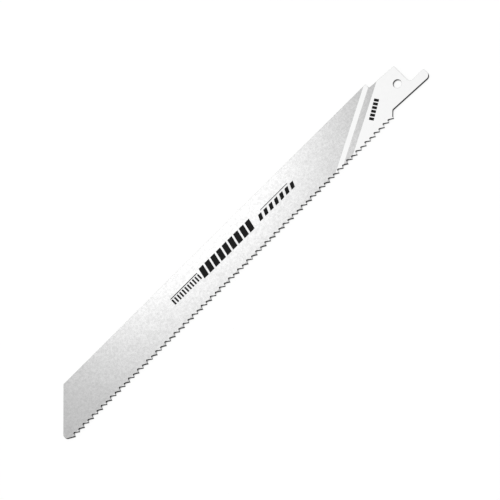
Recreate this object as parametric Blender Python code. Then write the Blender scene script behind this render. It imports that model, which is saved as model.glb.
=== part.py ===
"""Reciprocating saw blade.

One strip of steel: a row of set teeth, a slanted nose, and a tang with a pin hole and a prong.
The blade lies flat. +X runs from the nose to the tang, the teeth face -Y and the back faces +Y.
The origin is at the middle of the blade's box, on the surface that its lowest tooth tips touch.
The outline is drawn with x from the nose and y from the line of the tooth tips.
"""

import math

import bmesh
import bpy
from mathutils import Vector

MM = 0.001

# Strip
OVERALL_LENGTH = 225.0 * MM
BLADE_WIDTH = 20.85 * MM  # from the tooth tips to the back, at the nose
BACK_TAPER = 0.6 * MM  # width lost from the nose to the tang
THICKNESS = 1.6 * MM
EDGE_BREAK = 0.08 * MM  # chamfer along the plain edges and round the pin hole

# Teeth
TOOTH_PITCH = 2.81 * MM
DEEP_FLANK_ANGLE = math.radians(39.3)
SHALLOW_FLANK_ANGLE = math.radians(31.8)
FACE_LEAN = math.radians(11.0)  # how far the cutting face leans back from upright
GULLET_RADIUS = 0.52 * MM
TOOTH_SET = 0.25 * MM  # how far each tip is bent out of the strip
SET_HEIGHT = 1.0 * MM  # from the tips to the line that the teeth bend along

# Nose
NOSE_LEAD = 3.7 * MM  # from the nose to the first tooth tip
NOSE_RADIUS = 1.7 * MM
NOSE_FLANK_ANGLE = math.radians(29.7)
END_CUT_ANGLE = math.radians(47.0)  # between the end cut and the blade's length
END_CORNER_RADIUS = 0.5 * MM

# Run from the last tooth up to the tang
TOOTH_RUNOUT = 1.9 * MM  # clear length between the last tooth tip and the tang
LAST_FACE_HEIGHT = 0.63 * MM
RAMP_ANGLE = math.radians(46.0)
RAMP_FOOT_RADIUS = 0.3 * MM
RAMP_TOP_RADIUS = 0.8 * MM

# Tang
TANG_LENGTH = 22.7 * MM  # from the step in the back to the end of the prong
TANG_RISE = 2.96 * MM  # from the tooth tips to the tang's lower edge, at the step
TANG_CANT = math.radians(3.1)  # the lower edge slopes out towards the prong
BACK_STEP = 2.41 * MM
STEP_RADIUS = 0.6 * MM
TANG_BACK_SLOPE = math.radians(3.75)
SHOULDER_RADIUS = 0.4 * MM
NOTCH_RADIUS = 1.8 * MM
PRONG_LENGTH = 8.3 * MM
PRONG_WIDTH = 4.54 * MM  # at its end
PRONG_INNER_RADIUS = 0.6 * MM
PRONG_OUTER_RADIUS = 2.0 * MM
HOLE_DIAMETER = 3.95 * MM
HOLE_SETBACK = 4.4 * MM  # from the shoulder to the middle of the hole
HOLE_OFFSET = 0.07 * MM  # from the middle of the tang's width towards the back

# Fineness of the facets
ARC_STEP = math.radians(9.0)
GULLET_STEP = math.radians(16.0)
HOLE_SEGMENTS = 48

# How far a cutter runs past the face that it cuts
CUT_MARGIN = 0.3 * MM

STEEL_COLOUR = (0.72, 0.72, 0.73, 1.0)


def clear_scene():
    for item in list(bpy.data.objects):
        bpy.data.objects.remove(item, do_unlink=True)


def steel():
    material = bpy.data.materials.new("blade_steel")
    material.use_nodes = True
    shader = material.node_tree.nodes["Principled BSDF"]
    shader.inputs["Base Color"].default_value = STEEL_COLOUR
    shader.inputs["Metallic"].default_value = 0.85
    shader.inputs["Roughness"].default_value = 0.42
    return material


def meet(start, start_angle, other, other_angle):
    """Where the line through start meets the line through other."""
    along = Vector((math.cos(start_angle), math.sin(start_angle)))
    across = Vector((-math.sin(other_angle), math.cos(other_angle)))
    return start + along * ((other - start).dot(across) / along.dot(across))


def rounded_corner(before, corner, after, radius, step):
    """The points of an arc of this radius that rounds off a corner between two straight runs."""
    if radius <= 0.0:
        return [corner]
    inward = (before - corner).normalized()
    outward = (after - corner).normalized()
    half_angle = inward.angle(outward) / 2.0
    centre = corner + (inward + outward).normalized() * (radius / math.sin(half_angle))
    first = corner + inward * (radius / math.tan(half_angle)) - centre
    last = corner + outward * (radius / math.tan(half_angle)) - centre
    sweep = math.atan2(first.cross(last), first.dot(last))
    count = max(2, math.ceil(abs(sweep) / step))
    start = math.atan2(first.y, first.x)
    angles = [start + sweep * i / count for i in range(count + 1)]
    return [centre + Vector((math.cos(a), math.sin(a))) * radius for a in angles]


def tooth_count():
    space = OVERALL_LENGTH - NOSE_LEAD - TOOTH_RUNOUT - TANG_LENGTH
    return math.floor(space / TOOTH_PITCH + 0.001) + 1


def tooth_tip(index):
    return Vector((NOSE_LEAD + index * TOOTH_PITCH, 0.0))


def flank_angle(index):
    """The slope of the flank that climbs back from this tooth's tip: every other gullet is deep."""
    return DEEP_FLANK_ANGLE if index % 2 else SHALLOW_FLANK_ANGLE


def nose_corners():
    """Where the end cut meets the back, and where it meets the first tooth's long flank."""
    lean = math.tan(NOSE_FLANK_ANGLE)
    height = (NOSE_LEAD - NOSE_RADIUS) * lean + NOSE_RADIUS / math.cos(NOSE_FLANK_ANGLE)
    centre = Vector((NOSE_RADIUS, height))
    normal = Vector((-math.sin(END_CUT_ANGLE), math.cos(END_CUT_ANGLE)))
    touch = centre + normal * NOSE_RADIUS
    back = meet(touch, END_CUT_ANGLE, Vector((0.0, BLADE_WIDTH)), 0.0)
    point = meet(touch, END_CUT_ANGLE, tooth_tip(0), -NOSE_FLANK_ANGLE)
    return back, point


def tooth_corners():
    """Tip and gullet corners in turn, from the nose to the last tip."""
    corners = []
    for index in range(tooth_count() - 1):
        tip = tooth_tip(index)
        following = tooth_tip(index + 1)
        face = math.pi / 2.0 - FACE_LEAN
        gullet = meet(tip, face, following, -flank_angle(index + 1))
        corners.append((tip, 0.0, GULLET_STEP))
        corners.append((gullet, GULLET_RADIUS, GULLET_STEP))
    corners.append((tooth_tip(tooth_count() - 1), 0.0, GULLET_STEP))
    return corners


def lower_edge(x):
    """A point on the line of the tang's lower edge."""
    start = OVERALL_LENGTH - TANG_LENGTH
    return Vector((x, TANG_RISE - (x - start) * math.tan(TANG_CANT)))


def upper_edge(x):
    """A point on the line of the tang's upper edge."""
    start = OVERALL_LENGTH - TANG_LENGTH
    foot = BLADE_WIDTH - BACK_TAPER - BACK_STEP
    return Vector((x, foot - (x - start) * math.tan(TANG_BACK_SLOPE)))


def tang_corners():
    """The plain corners, from the last tooth round the tang and along the back to the nose."""
    last = tooth_tip(tooth_count() - 1)
    step_x = OVERALL_LENGTH - TANG_LENGTH
    shoulder_x = OVERALL_LENGTH - PRONG_LENGTH
    prong_y = lower_edge(OVERALL_LENGTH).y + PRONG_WIDTH
    foot = Vector((last.x + LAST_FACE_HEIGHT * math.tan(FACE_LEAN), LAST_FACE_HEIGHT))
    end_back, end_point = nose_corners()
    return [
        (foot, RAMP_FOOT_RADIUS),
        (meet(foot, RAMP_ANGLE, lower_edge(step_x), -TANG_CANT), RAMP_TOP_RADIUS),
        (lower_edge(OVERALL_LENGTH), PRONG_OUTER_RADIUS),
        (Vector((OVERALL_LENGTH, prong_y)), PRONG_INNER_RADIUS),
        (Vector((shoulder_x, prong_y)), NOTCH_RADIUS),
        (upper_edge(shoulder_x), SHOULDER_RADIUS),
        (upper_edge(step_x), STEP_RADIUS),
        (Vector((step_x, BLADE_WIDTH - BACK_TAPER)), 0.0),
        (end_back, END_CORNER_RADIUS),
        (end_point, NOSE_RADIUS),
    ]


def outline():
    """The blade's outline, anticlockwise from the first tooth tip, and how many points are teeth."""
    toothed = tooth_corners()
    plain = [(point, radius, ARC_STEP) for point, radius in tang_corners()]
    corners = toothed + plain
    points = []
    tooth_points = 0
    for index, (corner, radius, step) in enumerate(corners):
        before = corners[index - 1][0]
        after = corners[(index + 1) % len(corners)][0]
        points += rounded_corner(before, corner, after, radius, step)
        if index == len(toothed) - 1:
            tooth_points = len(points)
    return points, tooth_points


def strip():
    """The flat blank with its teeth cut, its plain edges marked."""
    mesh = bmesh.new()
    plain = mesh.verts.layers.int.new("plain")
    points, tooth_points = outline()
    ring = [mesh.verts.new((p.x, p.y, 0.0)) for p in points]
    for vertex in ring[tooth_points:]:
        vertex[plain] = 1
    blank = mesh.faces.new(ring)
    grown = bmesh.ops.extrude_face_region(mesh, geom=[blank])
    raised = [item for item in grown["geom"] if isinstance(item, bmesh.types.BMVert)]
    bmesh.ops.translate(mesh, verts=raised, vec=(0.0, 0.0, THICKNESS))
    bmesh.ops.recalc_face_normals(mesh, faces=mesh.faces)
    return mesh, plain


def break_edges(mesh, plain):
    """Chamfer both rims of the plain part of the outline."""
    rims = []
    for edge in mesh.edges:
        start, end = edge.verts
        level = abs(start.co.z - end.co.z) < EDGE_BREAK
        if level and start[plain] and end[plain]:
            rims.append(edge)
    bmesh.ops.bevel(mesh, geom=rims, offset=EDGE_BREAK, segments=1, profile=0.5, affect="EDGES")


def set_teeth(mesh):
    """Bend the teeth along one straight line, one down and the next one up."""
    everything = mesh.verts[:] + mesh.edges[:] + mesh.faces[:]
    line = (0.0, SET_HEIGHT, 0.0)
    bmesh.ops.bisect_plane(mesh, geom=everything, dist=1e-7, plane_co=line, plane_no=(0.0, 1.0, 0.0))
    tooth_gap = TOOTH_PITCH / 4.0
    for vertex in mesh.verts:
        if vertex.co.y >= SET_HEIGHT:
            continue
        index = max(0, math.ceil((vertex.co.x - NOSE_LEAD - tooth_gap) / TOOTH_PITCH))
        side = 1.0 if index % 2 else -1.0
        vertex.co.z += side * TOOTH_SET * (1.0 - vertex.co.y / SET_HEIGHT)


def hole_cutter(name):
    """A pin as wide as the hole, flared at both faces to chamfer its rims."""
    flare = HOLE_DIAMETER / 2.0 + EDGE_BREAK + CUT_MARGIN
    wall = HOLE_DIAMETER / 2.0
    profile = [
        (0.0, -CUT_MARGIN),
        (flare, -CUT_MARGIN),
        (wall, EDGE_BREAK),
        (wall, THICKNESS - EDGE_BREAK),
        (flare, THICKNESS + CUT_MARGIN),
        (0.0, THICKNESS + CUT_MARGIN),
    ]
    mesh = bmesh.new()
    points = [mesh.verts.new((radius, 0.0, height)) for radius, height in profile]
    edges = [mesh.edges.new(pair) for pair in zip(points, points[1:])]
    turn = {"cent": (0.0, 0.0, 0.0), "axis": (0.0, 0.0, 1.0), "angle": 2.0 * math.pi}
    bmesh.ops.spin(mesh, geom=points + edges, steps=HOLE_SEGMENTS, use_merge=True, **turn)
    bmesh.ops.remove_doubles(mesh, verts=mesh.verts, dist=1e-7)
    bmesh.ops.recalc_face_normals(mesh, faces=mesh.faces)
    return add_object(name, mesh)


def add_object(name, mesh):
    data = bpy.data.meshes.new(name)
    mesh.to_mesh(data)
    mesh.free()
    item = bpy.data.objects.new(name, data)
    bpy.context.collection.objects.link(item)
    return item


def centre_on_box(mesh):
    """Put the origin under the middle of the blade's box, and say how far the blade moved."""
    low = Vector([min(vertex.co[axis] for vertex in mesh.verts) for axis in range(3)])
    high = Vector([max(vertex.co[axis] for vertex in mesh.verts) for axis in range(3)])
    shift = Vector((-(low.x + high.x) / 2.0, -(low.y + high.y) / 2.0, -low.z))
    bmesh.ops.translate(mesh, verts=mesh.verts, vec=shift)
    return shift


def blade():
    mesh, plain = strip()
    break_edges(mesh, plain)
    set_teeth(mesh)
    shift = centre_on_box(mesh)
    item = add_object("blade", mesh)
    item.data.materials.append(steel())

    cutter = hole_cutter("pin_hole_cutter")
    hole_x = OVERALL_LENGTH - PRONG_LENGTH - HOLE_SETBACK
    hole_y = (lower_edge(hole_x).y + upper_edge(hole_x).y) / 2.0 + HOLE_OFFSET
    cutter.location = Vector((hole_x, hole_y, 0.0)) + shift
    cutter.display_type = "WIRE"
    cutter.hide_render = True

    cut = item.modifiers.new("pin_hole", "BOOLEAN")
    cut.operation = "DIFFERENCE"
    cut.object = cutter
    return item


clear_scene()
blade()
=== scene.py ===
"""Reciprocating saw blade: finish, print, floor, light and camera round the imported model.

The blade lies flat: +X from the nose to the tang, teeth towards -Y, printed side up.
Sizes and places are written in millimetres, and MM turns them into Blender's metres.
"""

import math

import bmesh
import bpy
from mathutils import Matrix, Vector

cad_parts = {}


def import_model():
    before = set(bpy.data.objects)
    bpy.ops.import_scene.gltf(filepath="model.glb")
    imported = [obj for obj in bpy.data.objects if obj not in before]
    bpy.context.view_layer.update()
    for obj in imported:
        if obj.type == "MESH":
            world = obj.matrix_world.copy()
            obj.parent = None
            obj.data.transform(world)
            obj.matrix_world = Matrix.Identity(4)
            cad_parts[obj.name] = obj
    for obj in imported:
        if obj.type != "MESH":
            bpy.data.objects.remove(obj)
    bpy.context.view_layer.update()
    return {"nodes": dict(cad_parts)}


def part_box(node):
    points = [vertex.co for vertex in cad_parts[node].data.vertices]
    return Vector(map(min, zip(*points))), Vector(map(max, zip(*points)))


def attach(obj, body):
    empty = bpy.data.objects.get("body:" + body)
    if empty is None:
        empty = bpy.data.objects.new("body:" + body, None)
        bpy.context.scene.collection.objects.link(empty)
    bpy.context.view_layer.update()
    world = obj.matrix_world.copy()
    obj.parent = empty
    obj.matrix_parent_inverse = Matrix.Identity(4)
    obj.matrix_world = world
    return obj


MM = 0.001

# View, as in the photograph: the blade runs up to the right, tilted a little towards its teeth
FRAME_WIDTH = 218.61 * MM
VIEW_TILT = math.radians(20.0)
VIEW_DISTANCE = 3000.0 * MM
VIEW_TARGET = (2.78 * MM, -6.81 * MM, 1.85 * MM)

# Blender takes the sensor and the lens in millimetres
SENSOR_WIDTH = 36.0

# Softbox: a little past the view's mirror angle over the blade's middle, with its power in watts
SOFTBOX_TILT = VIEW_TILT + math.radians(8.0)
SOFTBOX_ALONG = -4.0 * MM
SOFTBOX_REACH = 250.0 * MM
SOFTBOX_WIDTH = 136.0 * MM
SOFTBOX_DEPTH = 50.0 * MM
SOFTBOX_POWER = 0.125

# World: strength of the fill light, where 1 is white
FILL_LIGHT = 0.86

# Floor: half its width, the glow that shows it white with the lamp's light, and the reach
# of the painted contact shadow at the cut edges
FLOOR_REACH = 6000.0 * MM
FLOOR_GLOW = 0.935
CONTACT_REACH = 1.1 * MM

# Coat and stripe: their edges lie along x - STRIPE_RUN * y = a fixed value, waver by
# COAT_RAGGED and fade over COAT_EDGE, both to either side
STRIPE_RUN = 1.833
STRIPE_START = 70.74 * MM
STRIPE_END = 75.4 * MM
COAT_START = 81.24 * MM
COAT_EDGE = 0.08 * MM
COAT_RAGGED = 0.05 * MM

# Painted shade: a dark rim along the edges on the tooth side, which faces away from the lamp
SHADE_RIM_WIDTH = 0.2 * MM

# Grain of the blasted steel: noise scales for each metre, and the range that the noise fills
CLOUD_SCALE = 900.0
SPARKLE_SCALE = 3600.0
BROAD_SCALE = 90.0
SPARKLE_SHARE = 0.35
GRAIN_RANGE = (0.36, 0.64)

# Shades of each finish, from 0 for black to 1 for white; the set tooth, edge and hole values are
# painted light and shade
STEEL_SHADES = (0.3765, 0.4765)
# painted light on the set teeth, which face the lamp at another slope
SET_TOOTH_PAINTED_LIGHT = 0.62
EDGE_PAINTED_SHADES = (0.02, 0.045)
HOLE_PAINTED_SHADE = 0.16
COAT_SHADES = (0.918, 0.938)
INK_SHADES = (0.003, 0.01)

# Middle of the pin hole, how far its wall reaches from there, and how fast its painted shade fades
HOLE_MIDDLE = (99.8 * MM, -0.55 * MM, 1.05 * MM)
HOLE_REACH = 2.4 * MM
HOLE_FADE = 0.1 * MM

# The upper face lies this far below the highest set tooth tips
TOOTH_SET = 0.25 * MM

# Print: its height above the face, and how far it is sunk into it
INK_DEPTH = 0.02 * MM
INK_SUNK = 0.005 * MM


class Nodes:
    """Adds nodes to a material's tree and links them by plain values or sockets."""

    def __init__(self, tree):
        self.tree = tree

    def add(self, kind, inputs=None, **settings):
        node = self.tree.nodes.new(kind)
        for name, value in settings.items():
            setattr(node, name, value)
        for key, value in (inputs or {}).items():
            self.put(node.inputs[key], value)
        return node

    def put(self, socket, value):
        if isinstance(value, bpy.types.NodeSocket):
            self.tree.links.new(value, socket)
        else:
            socket.default_value = value

    def math(self, operation, *values):
        inputs = dict(enumerate(values))
        return self.add("ShaderNodeMath", inputs, operation=operation).outputs[0]

    def ramp(self, value, low, high, to_low=0.0, to_high=1.0):
        inputs = {0: value, 1: low, 2: high, 3: to_low, 4: to_high}
        return self.add("ShaderNodeMapRange", inputs).outputs[0]

    def noise(self, place, scale, detail=2.0, roughness=0.5):
        inputs = {"Vector": place, "Scale": scale, "Detail": detail, "Roughness": roughness}
        return self.add("ShaderNodeTexNoise", inputs).outputs["Fac"]

    def blend(self, amount, first, second):
        inputs = {0: amount, 2: first, 3: second}
        return self.add("ShaderNodeMix", inputs, data_type="FLOAT").outputs[0]

    def grey(self, value):
        return self.add("ShaderNodeCombineColor", {0: value, 1: value, 2: value}).outputs[0]

    def background_rays(self):
        """1 for rays that show the background: from the camera, in gloss and through glass."""
        path = self.add("ShaderNodeLightPath")
        seen = self.math("MAXIMUM", path.outputs["Is Camera Ray"], path.outputs["Is Glossy Ray"])
        return self.math("MAXIMUM", seen, path.outputs["Is Transmission Ray"])


def new_material(name):
    material = bpy.data.materials.new(name)
    material.use_nodes = True
    shader = material.node_tree.nodes["Principled BSDF"]
    return material, Nodes(material.node_tree), shader


def blade_finish():
    """Blasted steel with cut edges painted dark as shade and set teeth painted lighter, and the white
    coat and stripe on its printed side.
    """
    material, nodes, shader = new_material("blade_finish")
    place = nodes.add("ShaderNodeTexCoord").outputs["Object"]
    normal = nodes.add("ShaderNodeNewGeometry").outputs["True Normal"]
    up = nodes.add("ShaderNodeSeparateXYZ", {0: normal}).outputs["Z"]
    upright = nodes.math("ABSOLUTE", up)

    # Blasted grain: small clouds, a finer sparkle, and broad faint unevenness
    clouds = nodes.noise(place, CLOUD_SCALE, 4.0, 0.66)
    sparkle = nodes.noise(place, SPARKLE_SCALE, 1.0)
    broad = nodes.noise(place, BROAD_SCALE, 3.0, 0.55)
    clouds = nodes.math("MULTIPLY", clouds, 1.0 - SPARKLE_SHARE)
    grain = nodes.math("MULTIPLY_ADD", sparkle, SPARKLE_SHARE, clouds)
    steel = nodes.ramp(grain, *GRAIN_RANGE, *STEEL_SHADES)
    steel = nodes.math("MULTIPLY", steel, nodes.ramp(broad, 0.3, 0.7, 0.985, 1.015))

    # Cut edges, where the face stands nearly upright, are painted near black as shade, with faint
    # vertical marks, and painted a little lighter in the punched hole
    cut = nodes.ramp(upright, 0.75, 0.45)
    eased = nodes.add("ShaderNodeBevel", {"Radius": SHADE_RIM_WIDTH}, samples=8).outputs["Normal"]
    facing = nodes.add("ShaderNodeSeparateXYZ", {0: eased}).outputs["Y"]
    # painted shade rim on the tooth-side edges, facing away from the lamp; from here it counts as cut
    # edge
    painted_shade_rim = nodes.math("MULTIPLY", nodes.ramp(facing, -0.22, -0.42), nodes.ramp(up, 0.2, 0.6))
    cut = nodes.math("MAXIMUM", cut, painted_shade_rim)
    stretched = nodes.add("ShaderNodeMapping", {"Vector": place, "Scale": (1.0, 1.0, 0.15)})
    marks = nodes.noise(stretched.outputs[0], 5200.0, 2.0)
    painted_edge_shade = nodes.ramp(marks, 0.35, 0.65, *EDGE_PAINTED_SHADES)
    away = nodes.add("ShaderNodeVectorMath", {0: place, 1: HOLE_MIDDLE}, operation="DISTANCE")
    punched = nodes.ramp(away.outputs["Value"], HOLE_REACH, HOLE_REACH - HOLE_FADE)
    painted_edge_shade = nodes.blend(punched, painted_edge_shade, HOLE_PAINTED_SHADE)

    # Coat: the tang's printed side and a slanted stripe
    slope = {0: place, 1: (1.0, -STRIPE_RUN, 0.0)}
    run = nodes.add("ShaderNodeVectorMath", slope, operation="DOT_PRODUCT")
    ragged = nodes.ramp(nodes.noise(place, 2600.0, 2.0), 0.3, 0.7, -COAT_RAGGED, COAT_RAGGED)
    across = nodes.math("ADD", run.outputs["Value"], ragged)
    stripe_in = nodes.ramp(across, STRIPE_START - COAT_EDGE, STRIPE_START + COAT_EDGE)
    stripe_out = nodes.ramp(across, STRIPE_END + COAT_EDGE, STRIPE_END - COAT_EDGE)
    tang_in = nodes.ramp(across, COAT_START - COAT_EDGE, COAT_START + COAT_EDGE)
    covered = nodes.math("MAXIMUM", nodes.math("MULTIPLY", stripe_in, stripe_out), tang_in)
    coat = nodes.math("MULTIPLY", covered, nodes.ramp(up, 0.8, 0.9))
    white = nodes.ramp(nodes.noise(place, 500.0, 3.0), 0.3, 0.7, *COAT_SHADES)

    # Painted light: the set teeth face the lamp at another slope, so their colour is painted lighter
    # to look as light as the strip beside them
    painted_light_teeth = nodes.math("MULTIPLY", nodes.ramp(up, 0.995, 0.985), nodes.ramp(up, 0.85, 0.93))
    bare = nodes.blend(cut, nodes.blend(painted_light_teeth, steel, SET_TOOTH_PAINTED_LIGHT), painted_edge_shade)
    shade = nodes.blend(coat, bare, white)
    nodes.put(shader.inputs["Base Color"], nodes.grey(shade))
    nodes.put(shader.inputs["Metallic"], nodes.math("SUBTRACT", 1.0, nodes.math("MAXIMUM", coat, cut)))

    # Gloss: satin steel, dull cut edges and a half-matt coat, over a fine relief
    dull = nodes.blend(cut, nodes.ramp(grain, *GRAIN_RANGE, 0.37, 0.36), 0.9)
    nodes.put(shader.inputs["Roughness"], nodes.blend(coat, dull, 0.42))
    nodes.put(shader.inputs["Specular IOR Level"], 0.1)
    relief = nodes.blend(coat, grain, nodes.noise(place, 1500.0, 1.0))
    bump = nodes.add("ShaderNodeBump", {"Height": relief, "Strength": 0.12, "Distance": 0.02 * MM})
    nodes.put(shader.inputs["Normal"], bump.outputs["Normal"])
    return material


def ink():
    """Matt black screen print, a little thin in places."""
    material, nodes, shader = new_material("ink")
    place = nodes.add("ShaderNodeTexCoord").outputs["Object"]
    thin = nodes.noise(place, 1500.0, 3.0, 0.6)
    nodes.put(shader.inputs["Base Color"], nodes.grey(nodes.ramp(thin, 0.35, 0.7, *INK_SHADES)))
    nodes.put(shader.inputs["Roughness"], nodes.ramp(thin, 0.35, 0.7, 0.5, 0.62))
    nodes.put(shader.inputs["Specular IOR Level"], 0.08)
    bump = nodes.add("ShaderNodeBump", {"Height": thin, "Strength": 0.1, "Distance": 0.01 * MM})
    nodes.put(shader.inputs["Normal"], bump.outputs["Normal"])
    return material


def bar(mesh, centre, width, height, slant, turn, level):
    """One printed bar: a slanted block of ink, turned about its centre."""
    spin = Matrix.Rotation(turn, 2)
    lean = math.tan(slant) * height / 2.0
    corners = [
        (-width / 2.0 - lean, -height / 2.0),
        (width / 2.0 - lean, -height / 2.0),
        (width / 2.0 + lean, height / 2.0),
        (-width / 2.0 + lean, height / 2.0),
    ]
    points = [Vector(centre) + spin @ Vector(corner) for corner in corners]
    ring = [mesh.verts.new((p.x, p.y, level - INK_SUNK)) for p in points]
    face = mesh.faces.new(ring)
    grown = bmesh.ops.extrude_face_region(mesh, geom=[face])
    raised = [item for item in grown["geom"] if isinstance(item, bmesh.types.BMVert)]
    bmesh.ops.translate(mesh, verts=raised, vec=(0.0, 0.0, INK_SUNK + INK_DEPTH))


def printed_row(name, material, start, count, pitch, width, height, slant=0.0, turn=0.0, rule=None):
    """A row of equal bars from start, along a line turned by turn, with an optional rule beside it.

    A rule is given by its middle, its length and its thickness.
    """
    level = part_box("blade")[1].z - TOOTH_SET
    mesh = bmesh.new()
    along = Vector((math.cos(turn), math.sin(turn)))
    for index in range(count):
        centre = Vector(start) + along * (pitch * index)
        bar(mesh, centre, width, height, slant, turn, level)
    if rule:
        centre, length, thick = rule
        bar(mesh, centre, length, thick, 0.0, turn, level)
    bmesh.ops.recalc_face_normals(mesh, faces=mesh.faces)
    data = bpy.data.meshes.new(name)
    mesh.to_mesh(data)
    mesh.free()
    data.materials.append(material)
    piece = bpy.data.objects.new(name, data)
    bpy.context.collection.objects.link(piece)
    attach(piece, "root")


def print_marks():
    """Plain bars and fine rules where such blades carry their print."""
    black = ink()
    printed_row(
        "print_fine_bars",
        black,
        start=(-36.8 * MM, 1.05 * MM),
        count=11,
        pitch=1.57 * MM,
        width=0.84 * MM,
        height=2.8 * MM,
        rule=((-28.95 * MM, 3.05 * MM), 16.4 * MM, 0.42 * MM),
    )
    printed_row(
        "print_heavy_bars",
        black,
        start=(-18.2 * MM, 1.36 * MM),
        count=9,
        pitch=3.55 * MM,
        width=2.68 * MM,
        height=5.15 * MM,
        slant=math.radians(12.0),
    )
    printed_row(
        "print_low_bars",
        black,
        start=(16.4 * MM, 0.65 * MM),
        count=7,
        pitch=3.25 * MM,
        width=1.95 * MM,
        height=2.8 * MM,
        slant=math.radians(24.0),
        rule=((26.5 * MM, 2.97 * MM), 16.6 * MM, 0.33 * MM),
    )
    printed_row(
        "print_small_blocks",
        black,
        start=(80.95 * MM, -3.67 * MM),
        count=6,
        pitch=1.72 * MM,
        width=1.26 * MM,
        height=2.25 * MM,
        turn=math.radians(32.0),
    )


def floor():
    """A plain white floor that keeps a soft shadow, and a finer painted shadow close to the cut edges.
    """
    mesh = bpy.data.meshes.new("floor")
    signs = ((-1, -1), (1, -1), (1, 1), (-1, 1))
    corners = [(x * FLOOR_REACH, y * FLOOR_REACH, 0.0) for x, y in signs]
    mesh.from_pydata(corners, [], [(0, 1, 2, 3)])
    material = bpy.data.materials.new("floor")
    material.use_nodes = True
    tree = material.node_tree
    tree.nodes.clear()
    nodes = Nodes(tree)
    plain = nodes.add("ShaderNodeBsdfDiffuse", {"Color": (0.8, 0.8, 0.8, 1.0)})
    shaded = nodes.add("ShaderNodeBsdfDiffuse", {"Color": (0.08, 0.08, 0.08, 1.0)})
    # painted shadow: the glow dims where the blade's edges stand close over the floor
    open_sky = nodes.add("ShaderNodeAmbientOcclusion", {"Distance": CONTACT_REACH}, samples=16)
    strength = nodes.ramp(open_sky.outputs["AO"], 0.1, 0.64, 0.0, FLOOR_GLOW)
    glow = nodes.add("ShaderNodeEmission", {"Color": (1.0, 1.0, 1.0, 1.0), "Strength": strength})
    bright = nodes.add("ShaderNodeAddShader", {0: shaded.outputs[0], 1: glow.outputs[0]})
    ends = {0: nodes.background_rays(), 1: plain.outputs[0], 2: bright.outputs[0]}
    mixed = nodes.add("ShaderNodeMixShader", ends)
    nodes.add("ShaderNodeOutputMaterial", {"Surface": mixed.outputs[0]})
    mesh.materials.append(material)
    item = bpy.data.objects.new("floor", mesh)
    bpy.context.collection.objects.link(item)


def world():
    """White to the camera and in reflections, and a plain fill light elsewhere."""
    sky = bpy.data.worlds.new("studio")
    sky.use_nodes = True
    tree = sky.node_tree
    tree.nodes.clear()
    nodes = Nodes(tree)
    strength = nodes.blend(nodes.background_rays(), FILL_LIGHT, 1.0)
    glow = nodes.add("ShaderNodeBackground", {"Color": (1.0, 1.0, 1.0, 1.0), "Strength": strength})
    nodes.add("ShaderNodeOutputWorld", {"Surface": glow.outputs[0]})
    bpy.context.scene.world = sky


def softbox():
    """A small lamp over the middle of the blade, on the side that its face mirrors."""
    light = bpy.data.lights.new("softbox", "AREA")
    light.shape = "RECTANGLE"
    light.size = SOFTBOX_WIDTH
    light.size_y = SOFTBOX_DEPTH
    light.energy = SOFTBOX_POWER
    item = bpy.data.objects.new("softbox", light)
    away = Vector((0.0, math.sin(SOFTBOX_TILT), math.cos(SOFTBOX_TILT))) * SOFTBOX_REACH
    item.location = Vector((SOFTBOX_ALONG, 0.0, 0.0)) + away
    item.rotation_mode = "QUATERNION"
    item.rotation_quaternion = away.to_track_quat("Z", "Y")
    item.visible_camera = False
    bpy.context.collection.objects.link(item)


def camera():
    """A long lens at the photograph's angle, so that the view shows hardly any perspective."""
    data = bpy.data.cameras.new("camera")
    data.sensor_width = SENSOR_WIDTH
    data.lens = data.sensor_width * VIEW_DISTANCE / FRAME_WIDTH
    data.clip_start = 0.1
    data.clip_end = 20.0
    item = bpy.data.objects.new("camera", data)
    towards = Vector((0.0, -math.sin(VIEW_TILT), math.cos(VIEW_TILT)))
    along = Vector((1.0, 0.0, 0.0))
    across = towards.cross(along)
    right = (along - across).normalized()
    up = (along + across).normalized()
    turn = Matrix((right, up, towards)).transposed()
    item.rotation_mode = "QUATERNION"
    item.rotation_quaternion = turn.to_quaternion()
    item.location = Vector(VIEW_TARGET) + towards * VIEW_DISTANCE
    bpy.context.collection.objects.link(item)
    bpy.context.scene.camera = item


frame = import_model()

camera()
blade = frame["nodes"]["blade"]
blade.material_slots[0].material = blade_finish()
print_marks()
floor()
world()
softbox()
bpy.context.scene.view_settings.view_transform = "Standard"
